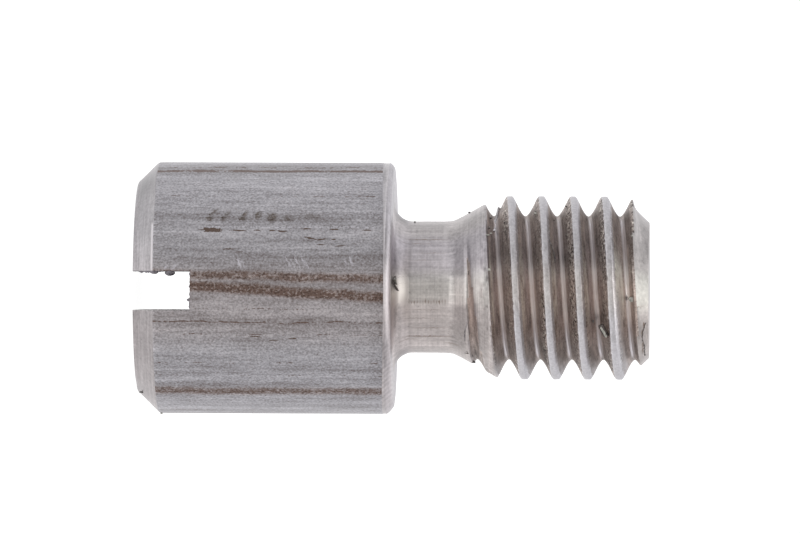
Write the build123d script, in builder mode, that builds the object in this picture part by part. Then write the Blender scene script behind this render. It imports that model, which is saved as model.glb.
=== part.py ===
from build123d import *
from math import ceil, radians, tan
import os

# A pivot pin turned from one piece of drawn steel bar, in millimetres. The slotted end stands
# on z = 0 about the origin, and the shank rises along +Z to the threaded end.

# Head, left at the drawn diameter of the bar
head_diameter = 8.0
head_length = 8.12
head_chamfer = 0.66
head_chamfer_blend = 0.12
shoulder_chamfer = 0.2
shoulder_chamfer_blend = 0.12

# Driver slot, sawn straight across the end a little off the middle
slot_width = 1.17
slot_depth = 1.84
slot_offset = 0.125

# Shank: a plain neck, a flare up to the thread, then the thread
shank_length = 8.1
neck_diameter = 4.17
neck_fillet = 0.6
flare_length = 1.47
flare_blend = 0.8

# Right-hand thread, M6 x 1 with the play of a cut thread
thread_diameter = 5.81
thread_length = 4.75
thread_pitch = 1.0
crest_flat = 0.18
root_flat = 0.1
flank_angle = 30.0
thread_chamfer = 0.73

# The threading tool starts in the clear, this far below the flare, and overlaps the crests
tool_run_in = 0.21
tool_clearance = 0.1

head_radius = head_diameter / 2
neck_radius = neck_diameter / 2
thread_radius = thread_diameter / 2
full_length = head_length + shank_length
thread_bottom = full_length - thread_length
flare_bottom = thread_bottom - flare_length

# The groove is a V with a narrow flat at its bottom
groove_half_width = (thread_pitch - crest_flat) / 2
root_half_width = root_flat / 2
root_radius = thread_radius - (groove_half_width - root_half_width) / tan(radians(flank_angle))
tool_radius = thread_radius + tool_clearance
tool_half_width = groove_half_width + tool_clearance * tan(radians(flank_angle))
tool_bottom = flare_bottom - tool_run_in
thread_turns = ceil((full_length + groove_half_width - tool_bottom) / thread_pitch)

with BuildPart() as pivot_pin:
    # Turned outline: head, shoulder, neck, flare and thread blank
    with BuildSketch(Plane.XZ) as outline:
        with BuildLine():
            FilletPolyline(
                (0, 0),
                (head_radius - head_chamfer, 0),
                (head_radius, head_chamfer),
                (head_radius, head_length - shoulder_chamfer),
                (head_radius - shoulder_chamfer, head_length),
                (neck_radius, head_length),
                (neck_radius, flare_bottom),
                (thread_radius, thread_bottom),
                (thread_radius, full_length),
                (0, full_length),
                radius=(
                    0,
                    0,
                    head_chamfer_blend,
                    shoulder_chamfer_blend,
                    shoulder_chamfer_blend,
                    neck_fillet,
                    flare_blend,
                    0,
                    0,
                    0,
                ),
                close=True,
            )
        make_face()
    revolve(axis=Axis.Z)

    # Driver slot
    with BuildSketch(Plane.XZ) as slot_section:
        with Locations((slot_offset, slot_depth / 2)):
            Rectangle(slot_width, slot_depth)
    extrude(amount=head_diameter, both=True, mode=Mode.SUBTRACT)

    # Thread groove, cut a turn at a time. It runs out over the flare
    for turn in range(thread_turns):
        turn_bottom = tool_bottom + turn * thread_pitch
        with BuildLine() as tool_path:
            Helix(thread_pitch, thread_pitch, root_radius, center=(0, 0, turn_bottom))
        with BuildSketch(Plane.XZ) as tool_section:
            with BuildLine():
                Polyline(
                    (tool_radius, turn_bottom - tool_half_width),
                    (root_radius, turn_bottom - root_half_width),
                    (root_radius, turn_bottom + root_half_width),
                    (tool_radius, turn_bottom + tool_half_width),
                    close=True,
                )
            make_face()
        sweep(path=tool_path.wire(), is_frenet=True, mode=Mode.SUBTRACT)

    # End chamfer, turned after the thread and cutting across its last groove
    with BuildSketch(Plane.XZ) as chamfer_section:
        with BuildLine():
            Polyline(
                (thread_radius - thread_chamfer, full_length),
                (tool_radius, full_length - thread_chamfer - tool_clearance),
                (tool_radius, full_length + tool_clearance),
                (thread_radius - thread_chamfer, full_length + tool_clearance),
                close=True,
            )
        make_face()
    revolve(axis=Axis.Z, mode=Mode.SUBTRACT)

pivot_pin.part.label = "pivot_pin"

os.makedirs("parts", exist_ok=True)
export_step(pivot_pin.part, "parts/pivot_pin.step")
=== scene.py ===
"""A turned steel pivot pin with a slotted head and a cut thread, on a pale studio floor."""

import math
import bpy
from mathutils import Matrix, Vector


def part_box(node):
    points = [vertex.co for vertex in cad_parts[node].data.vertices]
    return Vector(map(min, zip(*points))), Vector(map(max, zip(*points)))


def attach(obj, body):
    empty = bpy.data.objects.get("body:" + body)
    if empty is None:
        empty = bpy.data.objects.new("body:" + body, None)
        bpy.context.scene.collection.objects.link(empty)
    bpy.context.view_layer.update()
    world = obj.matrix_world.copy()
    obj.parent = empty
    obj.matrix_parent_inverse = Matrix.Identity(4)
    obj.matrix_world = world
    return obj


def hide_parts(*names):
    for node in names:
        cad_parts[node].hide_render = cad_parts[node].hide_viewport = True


bl_info = {
    "name": "Threaded pivot pin",
    "version": (1, 0, 0),
    "blender": (4, 5, 0),
    "location": "View3D > Sidebar > Pivot Pin",
    "description": "Builds a slotted, threaded pivot pin with its turned and drawn finishes",
    "category": "Object",
}

from functools import reduce

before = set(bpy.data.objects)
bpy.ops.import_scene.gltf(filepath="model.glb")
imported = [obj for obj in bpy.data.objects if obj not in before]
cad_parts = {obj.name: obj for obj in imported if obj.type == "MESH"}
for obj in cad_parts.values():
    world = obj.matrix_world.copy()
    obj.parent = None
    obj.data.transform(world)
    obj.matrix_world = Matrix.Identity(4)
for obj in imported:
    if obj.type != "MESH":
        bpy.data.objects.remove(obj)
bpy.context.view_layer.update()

import bmesh
import bpy
import numpy as np
from bpy.props import FloatProperty, FloatVectorProperty, PointerProperty
from mathutils import Matrix, Vector

MM = 0.001
FULL_TURN = 2 * math.pi
UP = np.array([0.0, 0.0, 1.0])

LOW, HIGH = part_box("pivot_pin")
FULL_LENGTH = (HIGH[2] - LOW[2]) / MM
HEAD_RADIUS = (HIGH[0] - LOW[0]) / 2 / MM

# Finishes of the skin, in the order of its materials
BAR, TURNED, NECK, SLOT, END, THREAD = range(6)

# Finishes of the burrs and of the swarf
BLUED, BRIGHT = range(2)
STAINED, CLEAN, FRESH = range(3)

# Columns round the pin: one run on each half of the slotted end, one in each gap of the slot
LIP_COLUMNS = 150
GAP_COLUMNS = 18

# Height at which the turned rows give way to rows that climb with the thread, and the lean of
# the thread's flanks in degrees
THREAD_FOOT = 10.2
FLANK_LEAN = 30

# Distances from the middle of the thread groove at which the thread has a row of points, as
# shares of the pitch
ROWS_ASIDE = (0.055, 0.1, 0.15, 0.21, 0.28, 0.34, 0.38, 0.405, 0.43, 0.46)
THREAD_ROWS = (-0.5, *(-row for row in reversed(ROWS_ASIDE)), 0.0, *ROWS_ASIDE)


def steel_colour(name, text, value):
    """A colour that the panel can change."""
    settings = {"subtype": "COLOR", "size": 3, "min": 0, "max": 1}
    return FloatVectorProperty(name=name, description=text, default=value, **settings)


def length(name, text, value, **settings):
    """A length, given in millimetres and kept in metres."""
    settings = {"min": 0, "precision": 5, "subtype": "DISTANCE", "unit": "LENGTH", **settings}
    return FloatProperty(name=name, description=text, default=value * MM, **settings)


class PinShape(bpy.types.PropertyGroup):
    """Sizes of the pin, as the model in the frame has them."""

    head_length: length("Head length", "From the slotted end to the shoulder", 8.12)
    head_chamfer: length("Head chamfer", "45 degree chamfer round the slotted end", 0.66)
    bar_offset: length("Bar offset", "How far the drawn bar runs off the turned axis", 0.05)
    shoulder_break: length("Shoulder edge", "Broken edge between the bar and the shoulder", 0.19)
    slot_width: length("Slot width", "Width of the driver slot", 1.17)
    slot_depth: length("Slot depth", "Depth of the driver slot", 1.84)
    slot_offset: length("Slot offset", "How far the slot lies off the axis", 0.125)
    saw_wander: length("Saw wander", "How far the saw cut past the slot's far wall", 0.04)
    neck_radius: length("Neck radius", "Radius of the plain neck", 2.085)
    neck_fillet: length("Neck fillet", "Fillet between the shoulder and the neck", 0.6)
    flare_bottom: length("Flare start", "Height at which the neck flares out to the thread", 10.0)
    flare_length: length("Flare length", "Height of the flare", 1.47)
    thread_radius: length("Thread radius", "Radius over the crests", 2.905)
    thread_pitch: length("Pitch", "Pitch of the thread", 1.0)
    groove_width: length("Groove width", "Width of the thread groove at the crests", 0.82)
    groove_root: length("Root width", "Width of the groove's rounded bottom", 0.1)
    groove_start: length("Groove start", "Height of the first groove on the +X side", 9.79)
    thread_lean: length("Thread lean", "How far the thread sits off the axis, towards +X", 0.01)
    end_chamfer: length("End chamfer", "45 degree lead chamfer of the thread", 0.73)


class PinFinish(bpy.types.PropertyGroup):
    """Colours of the pin's finishes."""

    drawn_steel: steel_colour("Drawn steel", "Bare skin of the bar", (0.302, 0.295, 0.312))
    drawing_scale: steel_colour("Scale", "Brown rows along the bar", (0.128, 0.083, 0.067))
    scale_pit: steel_colour("Scale pits", "Darkest specks of the scale", (0.035, 0.026, 0.022))
    turned_steel: steel_colour("Turned steel", "Chamfers, neck and flare", (0.40, 0.385, 0.385))
    crest_steel: steel_colour("Crest", "Lands along the thread's crests", (0.40, 0.39, 0.405))
    flank_steel: steel_colour("Flank", "Torn flanks of the thread", (0.33, 0.285, 0.265))
    # clean_flank also serves as a painted highlight on the lower flanks that face -Y
    clean_flank: steel_colour("Clean flank", "Where the tool cut cleanly", (0.66, 0.67, 0.62))
    root_steel: steel_colour("Root", "Polished bottom of the groove", (0.64, 0.615, 0.63))
    swarf_steel: steel_colour("Swarf", "Loose slivers and burrs", (0.32, 0.315, 0.285))


class StudioSetup(bpy.types.PropertyGroup):
    """Light, floor and camera."""

    floor_colour: steel_colour("Floor", "Colour of the floor", (0.3, 0.3, 0.3))
    camera_distance: length("Camera distance", "From the camera to the pin's axis", 330.0, min=0.05)
    camera_height: length("Camera height", "Height of the camera over the floor", 20.4)
    camera_lens: FloatProperty(
        name="Lens", description="Focal length", default=467.8, min=1,
        subtype="DISTANCE_CAMERA", unit="CAMERA",
    )


class Shade:
    """One output of a shader node. Arithmetic on it adds Math nodes to the same tree."""

    def __init__(self, tree, socket=None):
        self.tree = tree
        self.socket = socket

    def node(self, kind, settings=None, inputs=None, output=0):
        """Adds a node, sets its settings, then gives its sockets values or links."""
        made = self.tree.nodes.new(kind)
        for name, value in (settings or {}).items():
            if name == "stops":
                ramp = made.color_ramp
                while len(ramp.elements) < len(value):
                    ramp.elements.new(0.5)
                for element, (place, colour) in zip(ramp.elements, value):
                    element.position = place
                    element.color = (*(colour if isinstance(colour, tuple) else [colour] * 3), 1)
            else:
                setattr(made, name, value)
        for name, value in (inputs or {}).items():
            socket = made.inputs[name]
            if isinstance(value, Shade):
                self.tree.links.new(value.socket, socket)
            else:
                socket.default_value = (*value, 1) if socket.type == "RGBA" else value
        return Shade(self.tree, made.outputs[output])

    def math(self, operation, *values):
        """A Math node over this value and the others."""
        inputs = dict(enumerate((self, *values)))
        return self.node("ShaderNodeMath", {"operation": operation}, inputs)

    def vector(self, operation, *values, output=0):
        """A Vector Math node over this vector and the others."""
        inputs = dict(enumerate((self, *values)))
        return self.node("ShaderNodeVectorMath", {"operation": operation}, inputs, output)

    def __add__(self, other):
        return self.math("ADD", other)

    __radd__ = __add__

    def __mul__(self, other):
        return self.math("MULTIPLY", other)

    __rmul__ = __mul__

    def __sub__(self, other):
        return self.math("SUBTRACT", other)

    def __rsub__(self, other):
        return self * -1.0 + other

    def __truediv__(self, other):
        return self.math("DIVIDE", other)

    def __neg__(self):
        return self * -1.0

    def __abs__(self):
        return self.math("ABSOLUTE")

    def most(self, other):
        """The greater of this value and the other."""
        return self.math("MAXIMUM", other)

    def turn_to(self, other):
        """Angle of the point whose sine side is this value and whose cosine side is the other."""
        return self.math("ARCTAN2", other)

    def step(self, start, end):
        """0 up to start, 1 from end, smooth between. With end below start it falls instead."""
        inputs = {"Value": self, "From Min": start, "From Max": end}
        return self.node("ShaderNodeMapRange", {"interpolation_type": "SMOOTHSTEP"}, inputs)

    def near(self, centre, width, soft=0.5):
        """1 at the centre, half at the width, then 0. soft is the fade's share of the width."""
        return abs(self - centre).step(width * (1 + soft), width * (1 - soft))

    def ramp(self, stops):
        """The colour that the stops give for this value."""
        return self.node("ShaderNodeValToRGB", {"stops": stops}, {"Fac": self})

    def stretched(self, x, y, z):
        """This vector with each part times its own number."""
        return self.vector("MULTIPLY", (x, y, z))

    def joined(self, second, third=0.0):
        """The vector of this value and two others."""
        return self.node("ShaderNodeCombineXYZ", {}, {0: self, 1: second, 2: third})

    def parts(self):
        """The three parts of this vector."""
        split = self.node("ShaderNodeSeparateXYZ", {}, {0: self})
        return [Shade(self.tree, socket) for socket in split.socket.node.outputs]

    def noise(self, scale, detail=2.0, rough=0.6):
        """Noise over this vector, from about -0.5 to 0.5."""
        inputs = {"Vector": self, "Scale": scale, "Detail": detail, "Roughness": rough}
        return self.node("ShaderNodeTexNoise", {"noise_dimensions": "3D"}, inputs) - 0.5

    def mix(self, low, high, how="MIX"):
        """The low colour where this value is 0, going over to the high one where it is 1."""
        settings = {"data_type": "RGBA", "blend_type": how}
        return self.node("ShaderNodeMix", settings, {0: self, 6: low, 7: high}, 2)

    def blend(self, colour, mask):
        """This colour going over to another where the mask is 1."""
        return mask.mix(self, colour)

    def times(self, tint, mask):
        """This colour multiplied by a tint where the mask is 1."""
        return mask.mix(self, tint, "MULTIPLY")


class Finish:
    """A material under way: its shader and the place on the pin in millimetres."""

    def __init__(self, name):
        self.material = bpy.data.materials.new(name)
        self.material.use_nodes = True
        self.tree = self.material.node_tree
        self.shader = self.tree.nodes["Principled BSDF"]
        self.shader.inputs["Metallic"].default_value = 1.0
        metres = Shade(self.tree).node("ShaderNodeTexCoord", output="Object")
        self.place = metres.stretched(1000, 1000, 1000)
        self.x, self.y, self.z = self.place.parts()

    def turn(self):
        """Angle round the pin in degrees: 0 faces -Y and 90 faces +X."""
        return self.x.turn_to(-self.y) * math.degrees(1)

    def grain(self, along, *noise):
        """Noise drawn out along the pin where along is under 1."""
        return self.place.stretched(1, 1, along).noise(*noise)

    def toned(self, base, shade, deep=(0.42, 0.42, 0.42)):
        """The base colour, lighter where shade is over 0, and down to deep where it is under."""
        return shade.mix(base, tinted(base, 1.7)).blend(tinted(base, *deep), -shade)

    def done(self, colour, roughness, height, depth, strength):
        """Connects what varies over the surface. depth is the bump's height in millimetres."""
        inputs = {"Strength": strength, "Distance": depth * MM, "Height": height}
        bump = height.node("ShaderNodeBump", {}, inputs)
        for name, shade in (("Base Color", colour), ("Roughness", roughness), ("Normal", bump)):
            self.tree.links.new(shade.socket, self.shader.inputs[name])
        return self.material


def tinted(colour, *factors):
    """A colour with each part times its own factor, or all times one."""
    factors = factors * 3 if len(factors) == 1 else factors
    return tuple(min(1.0, part * factor) for part, factor in zip(colour, factors))


# Rows of brown scale along the drawn bar: arc length from the -Y side, half width, strength
BROWN_ROWS = (
    (-9.75, 0.2, 0.85), (-7.3, 0.12, 0.7), (3.84, 0.17, 0.86), (7.4, 0.2, 0.9), (7.85, 0.14, 0.8),
    (11.3, 0.17, 0.85),
)
THIN_ROWS = (
    (-11.6, 0.04, 0.7), (-8.4, 0.03, 0.6), (-5.06, 0.08, 0.52), (-4.71, 0.11, 0.74),
    (-3.2, 0.02, 0.45), (0.72, 0.02, 0.42), (1.14, 0.026, 0.62), (1.56, 0.02, 0.5),
    (2.58, 0.025, 0.45), (3.1, 0.02, 0.42), (5.3, 0.03, 0.5), (6.2, 0.03, 0.7), (9.2, 0.035, 0.7),
    (10.4, 0.03, 0.5),
)

# Rows that run askew over the -Y side: arc length at the slot's floor, slope, half width, strength
SKEW_ROWS = ((-0.38, 0.022, 0.13, 0.8), (-0.02, 0.06, 0.15, 0.95))

# Tone round the bar, partly the skin's own tone and partly painted light and shade:
# arc length, then 1 for light and 0 for dark
BAR_TONES = (
    (-12.5, 0.5), (-9, 0.6), (-6.5, 0.45), (-5.4, 0.5), (-4.5, 0.58), (-3.95, 0.66), (-3.6, 0.58),
    (-2.9, 0.58), (-2.4, 0.545), (-1.9, 0.53), (-1.2, 0.53), (-0.3, 0.5), (0.5, 0.52),
    (0.95, 0.5), (1.14, 0.46), (1.45, 0.52), (1.9, 0.52), (2.9, 0.52), (3.6, 0.48), (4.6, 0.53),
    (6.5, 0.5), (9, 0.6), (12.5, 0.5),
)

# Single marks on the drawn bar: arc length, height, half width, half length, lean and strength
BAR_MARKS = (
    (-1.88, 2.22, 0.02, 0.16, 0, 1.1), (-1.84, 3.35, 0.025, 0.27, 0.05, 1.1),
    (-1.86, 3.95, 0.025, 0.09, 0, 1.1), (-1.85, 4.4, 0.025, 0.11, 0, 1.1),
    (-1.82, 4.72, 0.025, 0.16, 0.05, 1.1), (-1.89, 5.45, 0.025, 0.2, 0, 1.1),
    (-1.88, 6.35, 0.025, 0.15, 0, 1.1), (-1.86, 7.4, 0.025, 0.14, 0, 0.9),
    (-1.58, 5.62, 0.025, 0.22, 0.25, 1.1), (-1.53, 5.98, 0.022, 0.16, -0.1, 1.1),
    (-1.54, 6.33, 0.025, 0.09, 0, 1.1), (-1.36, 5.95, 0.02, 0.14, 0.03, 0.9),
    (-1.33, 6.55, 0.02, 0.2, -0.1, 0.9), (-1.2, 3.05, 0.022, 0.2, 0, 0.9),
    (-1.1, 3.4, 0.02, 0.12, 0, 0.8), (1.62, 3.9, 0.02, 0.22, 0.1, 0.9),
    (1.74, 4.45, 0.02, 0.18, -0.1, 0.9), (1.66, 5.1, 0.03, 0.12, 0, 0.7),
    (8.6, 3.2, 0.09, 0.2, -0.25, 0.7), (8.7, 3.9, 0.08, 0.2, -0.25, 0.6),
    (-10.6, 5.1, 0.04, 0.5, 0, 0.8),
)

# Faint smudges in a row beside them, laid out in the same way
BAR_SMUDGES = (
    (-2.52, 2.56, 0.2, 0.055, 0.65, 1), (-2.26, 2.42, 0.1, 0.1, 0.4, 1.3),
    (-2.46, 2.98, 0.17, 0.065, 0.6, 0.9), (-2.27, 2.86, 0.09, 0.09, 0.4, 1.1),
    (-2.42, 3.52, 0.17, 0.07, 0.5, 1.1), (-2.26, 3.46, 0.08, 0.11, 0, 1.1),
    (-2.42, 3.96, 0.16, 0.1, 0.4, 1.2), (-2.32, 4.4, 0.17, 0.16, 0.3, 1.2),
    (-2.3, 4.9, 0.12, 0.2, 0, 0.8), (-2.34, 5.7, 0.13, 0.3, 0.1, 0.5),
)

# Bright scratches across the bar, laid out in the same way
BAR_SCRATCHES = (
    (-0.74, 3.4, 0.03, 0.17, 1.15, 0.9), (-0.72, 3.5, 0.025, 0.2, 1.1, 0.8),
    (-0.78, 4.94, 0.018, 0.26, 1.1, 0.8), (-0.72, 5.08, 0.018, 0.2, 1.1, 0.8),
    (-0.76, 5.24, 0.018, 0.24, 1.15, 0.8), (-0.8, 5.42, 0.018, 0.2, 1.15, 0.8),
    (-0.7, 5.52, 0.018, 0.18, 1.1, 0.8), (-0.62, 1.1, 0.02, 0.14, -0.9, 0.7),
    (-0.85, 6.9, 0.025, 0.17, 1.15, 0.9), (-0.8, 6.75, 0.02, 0.12, 1.15, 0.7),
    (-0.62, 1.35, 0.04, 0.14, -0.7, 0.7), (9.4, 5.2, 0.03, 0.3, 0.8, 0.6),
)

# Patches of painted highlight and painted shade on what is turned: angle, half width in degrees,
# height, half height, strength: over 0 is painted light and under 0 painted shade
CHAMFER_PATCHES = (
    (-14, 9, 0.35, 0.32, 0.35), (-65, 12, 0.3, 0.3, -0.25), (3, 25, 8.08, 0.06, 0.4),
    (70, 14, 8.05, 0.12, 0.2), (0, 180, 8.05, 0.15, 0.2), (3, 50, 8.09, 0.06, 0.22),
    (17, 10, 7.93, 0.12, 0.35),
)
NECK_PATCHES = (
    (3, 58, 8.2, 0.12, 0.38), (3, 64, 8.12, 0.06, 0.6), (3, 58, 8.5, 0.13, 0.5),
    (-84, 15, 8.35, 0.2, -0.45), (84, 15, 8.35, 0.2, -0.45), (3, 11, 9.25, 0.6, 0.25),
    (-21, 13, 9.25, 0.75, 0.2), (22, 9, 9.25, 0.75, 0.3), (60, 5, 9.25, 0.7, 0.4),
    (-4, 12, 10.78, 0.3, 0.6), (-42, 18, 10.1, 0.24, -0.45), (48, 16, 10.2, 0.25, -0.4),
    (-50, 18, 10.7, 0.35, -0.4), (40, 16, 10.8, 0.3, -0.4),
)
END_PATCHES = ((60, 26, 15.85, 0.45, 0.08), (-60, 20, 15.85, 0.4, 0.1))

# Painted highlights with crisp edges, laid out in the same way; under 0 they are painted shade
CHAMFER_GLINTS = ((-19, 11, 0.62, 0.025, 1.3),)
NECK_GLINTS = (
    (2, 11.5, 8.43, 0.22, 0.8), (12, 4, 8.16, 0.06, 0.5), (3, 12, 10.2, 0.27, 0.62),
    (6, 0.7, 10.2, 0.25, 0.8),
)
END_GLINTS = ((3, 13.2, 15.86, 0.4, -0.02), (-22, 11, 15.86, 0.4, -0.07))

# Tints round what is turned: angle, half width in degrees, tint; near 0 they tint painted
# highlights
CHAMFER_TINTS = ((50, 55, (1, 0.965, 0.94)),)
NECK_TINTS = (*CHAMFER_TINTS, (-29, 18, (1, 1, 1.05)), (0, 13, (1, 1.03, 1.005)))
END_TINTS = ((60, 45, (1, 0.965, 0.94)), (3, 14, (0.98, 1.015, 0.985)))

# Fine marks on the neck and the lead chamfer: angle, height, half width in degrees, half height,
# lean and strength
NECK_MARKS = (
    *((12.4 + 0.4 * (i % 3), 8.66 + 0.088 * i, 2.1, 0.022, 0, 0.5 + 0.1 * (i % 4))
      for i in range(14)),
    (12.6, 9.25, 1.9, 0.62, 0, 0.3), (-3.2, 8.53, 1.6, 0.02, 0.5, 0.9),
    (0.2, 8.56, 1.4, 0.02, -0.4, 0.8), (48, 9.2, 1, 0.7, 0, 0.9), (52, 8.6, 0.8, 0.3, 0, 0.5),
    (38, 9.3, 0.5, 0.5, 0, 0.6), (-46, 9.2, 0.7, 0.7, 0, 0.6), (-41, 8.9, 0.5, 0.5, 0, 0.5),
    (-31, 9.4, 0.5, 0.5, 0, 0.45), (-24, 9, 0.4, 0.4, 0, 0.4), (20, 9.2, 0.4, 0.6, 0, 0.45),
    (28, 9, 0.4, 0.6, 0, 0.4), (57, 10, 1, 0.25, 0, 0.6), (-9, 8.62, 3, 0.02, 0.3, 1),
    (120, 9.1, 1, 0.6, 0, 0.7), (200, 9.4, 1, 0.5, 0, 0.7), (-130, 8.9, 1, 0.5, 0, 0.7),
    (165, 9, 0.6, 0.7, 0, 0.6),
)
END_MARKS = (
    (14, 15.9, 0.5, 0.2, 0, 0.6), (30.5, 16.08, 2.6, 0.03, 0, 1.3),
    (36.5, 16.03, 3.2, 0.03, 0, 1.3), (49, 16.05, 4, 0.03, 0, 1.3),
    (56, 16.04, 4.5, 0.03, 0, 1.2),
)

# What is turned: name, tint, scale of its rings, height under which lines run along it, tables
TURNED_FACES = (
    ("turned_chamfer", (0.88, 0.88, 0.915), 0.35, -1.0,
     CHAMFER_PATCHES, CHAMFER_GLINTS, CHAMFER_TINTS, ()),
    ("turned_neck", (0.95, 0.93, 0.93), 0.2, 10.0,
     NECK_PATCHES, NECK_GLINTS, NECK_TINTS, NECK_MARKS),
    ("turned_end", (1.0, 0.985, 0.96), 0.5, -1.0,
     END_PATCHES, END_GLINTS, END_TINTS, END_MARKS),
)

# Broken edge of the shoulder: how far out it still is, how far up it has come
SHOULDER_EDGE = (
    (0.99, 0.045), (0.955, 0.125), (0.89, 0.23), (0.79, 0.36), (0.64, 0.52), (0.46, 0.68),
    (0.29, 0.81), (0.15, 0.905), (0.06, 0.965), (0, 1),
)


def strokes(spot, marks):
    """Soft ovals at their places. spot holds the arc length and the height."""
    ovals = []
    for place, height, half, reach, lean, strength in marks:
        away = spot.vector("SUBTRACT", (place, height, 0))
        if lean:
            turned = {"Vector": away, "Angle": lean}
            away = away.node("ShaderNodeVectorRotate", {"rotation_type": "Z_AXIS"}, turned)
        far = away.stretched(1 / half, 1 / reach, 0).vector("LENGTH", output=1)
        ovals.append(far.step(1.5, 0.4) * strength)
    return reduce(Shade.most, ovals)


def patches(steel, turn, light_patches, soft):
    """Adds up the patches. soft is how far their edges fade, as a share of their size."""
    return reduce(
        Shade.__add__,
        (
            turn.near(angle, wide, soft) * steel.z.near(height, tall, soft) * strength
            for angle, wide, height, tall, strength in light_patches
        ),
    )


def ring_profile(rows, circumference):
    """Stops of a ramp round the bar that swell on each row."""
    stops = [(0.0, 0.0)]
    for place, width, strength in rows:
        share = place / circumference + 0.5
        reach = width / circumference
        stops += [(share - reach * 1.5, 0.0), (share - reach * 0.45, strength)]
        stops += [(share + reach * 0.45, strength), (share + reach * 1.5, 0.0)]
    return stops


def drawn_bar(finish, shape):
    """Skin of the drawn bar: speckle, fine lines along it, brown scale in rows, a few marks."""
    steel = Finish("drawn_bar")
    base = tuple(finish.drawn_steel)
    circumference = FULL_TURN * HEAD_RADIUS
    arc = steel.turn() * (circumference / 360)

    fleck = steel.grain(0.8, 14.0)
    glint = steel.grain(0.8, 18.0, 1.0)
    clump = steel.grain(0.5, 3.5)
    hair = steel.grain(0.08, 10.0)
    streak = steel.grain(0.05, 2.4)
    cloud = steel.grain(0.4, 0.7)
    wander = steel.place.stretched(0.3, 0.3, 0.5).noise(1.0)

    # Brown scale: grains that crowd together on the rows and marks, with a few anywhere
    moved = arc + wander * 0.16 + clump * 0.12
    share = moved / circumference + 0.5
    rows = share.ramp(ring_profile(BROWN_ROWS, circumference))
    for start, slope, width, strength in SKEW_ROWS:
        centre = (steel.z - shape.slot_depth / MM) * slope + start
        rows = rows.most(abs(moved - centre).step(width * 1.7, width * 0.4) * strength)
    thin = [moved.near(place, width) * strength for place, width, strength in THIN_ROWS]
    fine = reduce(Shade.most, thin)
    spot = (arc + clump * 0.1).joined(steel.z + fleck * 0.2)
    gouge = (arc + fleck * 0.12).near(-1.855, 0.075, 0.25)
    gouge = gouge * (steel.z + fleck * 0.5).near(2.52, 0.27, 0.12)
    marks = strokes(spot, BAR_MARKS).most(gouge)
    crowd = fleck * 8.0 + clump * 2.4 + cloud * 1.5
    scale = (rows * 1.6 + crowd).step(0.3, 1.5) * (rows * 0.78 + 0.16)
    dashes = (fine * 3.8 + fleck * 3.5 + clump * 4.0 - 1.6).step(0.2, 0.9)
    stain = (marks * 2.6 + fleck * 5.0 - 0.7).step(0.2, 1.0)
    smudge = strokes(spot, BAR_SMUDGES) * (fleck * 4.0 + 0.95)

    # Lighter and darker skin by its arc round the bar, partly painted light and shade
    tones = tuple((place / circumference + 0.5, tone) for place, tone in BAR_TONES)
    tone = (share.ramp(tones) - 0.5) * 2.0
    shade = glint * 2.2 + fleck * 0.9 + hair * 1.3 + streak * 1.9 + cloud * 0.8 + tone
    colour = steel.toned(base, shade, (0.46, 0.4, 0.37))
    colour = colour.times((1.0, 0.96, 0.93), arc.near(0.55, 1.2))
    colour = colour.times((0.8, 0.69, 0.62), rows * 0.9)
    brown = finish.drawing_scale
    colour = colour.blend(tuple(brown), scale * 0.95)
    colour = colour.blend(tuple(finish.scale_pit), scale * glint.step(0.0, -0.16) * 0.55)
    colour = colour.blend(tinted(brown, 0.9), dashes * 0.85)
    colour = colour.blend(tinted(brown, 0.78, 0.82, 0.78), stain * 0.93)
    colour = colour.times((0.46, 0.41, 0.36), smudge * 0.8)

    # A bright line drawn beside the marks, and scratches across the rows
    bright = tinted(base, 1.75, 1.75, 1.8)
    line = (arc + clump * 0.06).near(-1.965, 0.02) * steel.z.near(5.05, 2.7, 0.1)
    colour = colour.blend(bright, line * glint.step(-0.1, 0.1) * 0.7)
    colour = colour.blend(bright, strokes(spot, BAR_SCRATCHES) * (fleck * 2.0 + 0.7))

    roughness = fleck * 0.25 + scale * 0.12 + 0.47
    height = glint * 0.8 + hair * 0.7 + streak * 0.4 - scale * 0.45 - dashes * 0.4 - stain * 0.4
    return steel.done(colour, roughness, height, 0.006, 0.6)


def turned_face(finish, name, tint, around, lined, light_patches, painted_glints, tints, marks):
    """Turned surface: rings that follow the profile, or below the height lined, lines along it."""
    steel = Finish(name)
    base = tinted(finish.turned_steel, *tint)
    turn = steel.turn()
    reach = steel.place.stretched(1, 1, 0).vector("LENGTH", output=1)
    profile = (steel.z * 0.8 + reach * 1.1) * 9.0
    ring = (steel.x * around).joined(steel.y * around, profile)
    coarse = ring.noise(0.55)
    fine = ring.noise(2.2, 3.0, 0.75)
    speck = steel.place.noise(11.0)
    cloud = steel.place.noise(0.9)
    lines = steel.grain(0.05, 7.5, 3.0, 0.7)
    rings = coarse * 1.3 + fine * 1.2
    drawn = steel.z.step(lined + 0.3, lined) * 0.7
    shade = rings * (1 - drawn) + lines * drawn * 2.1 + speck * 1.1 + cloud * 0.8
    # The patches and glints are painted highlights and painted shade, laid into the colour
    painted_lighting = patches(steel, turn, light_patches, 0.5) + patches(steel, turn, painted_glints, 0.15)
    shade = shade + painted_lighting * (coarse * 1.2 + fine * 1.2 + 1.0)
    # Ripples that the tool's chatter left on the shoulder's edge
    ripple = ((steel.x + steel.z * 0.87) * 42.5).math("SINE")
    ripple = ripple * turn.near(52.0, 22.0) * steel.z.near(8.0, 0.2, 0.3)
    colour = steel.toned(base, shade + ripple * 0.17)
    for angle, wide, cast in tints:
        colour = colour.times(cast, turn.near(angle, wide))
    colour = colour.blend(tinted(base, 0.25), speck.step(-0.2, -0.3) * 0.7)
    if marks:
        spot = (turn + speck * 3.0).joined(steel.z + speck * 0.06)
        worked = strokes(spot, marks) * (speck * 3.0 + 0.8)
        colour = colour.blend(tinted(base, 0.5, 0.42, 0.36), worked)
    roughness = coarse * 0.16 + speck * 0.1 + 0.36
    return steel.done(colour, roughness, coarse * 0.5 + fine * 0.7 + speck * 0.15, 0.004, 0.6)


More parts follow.
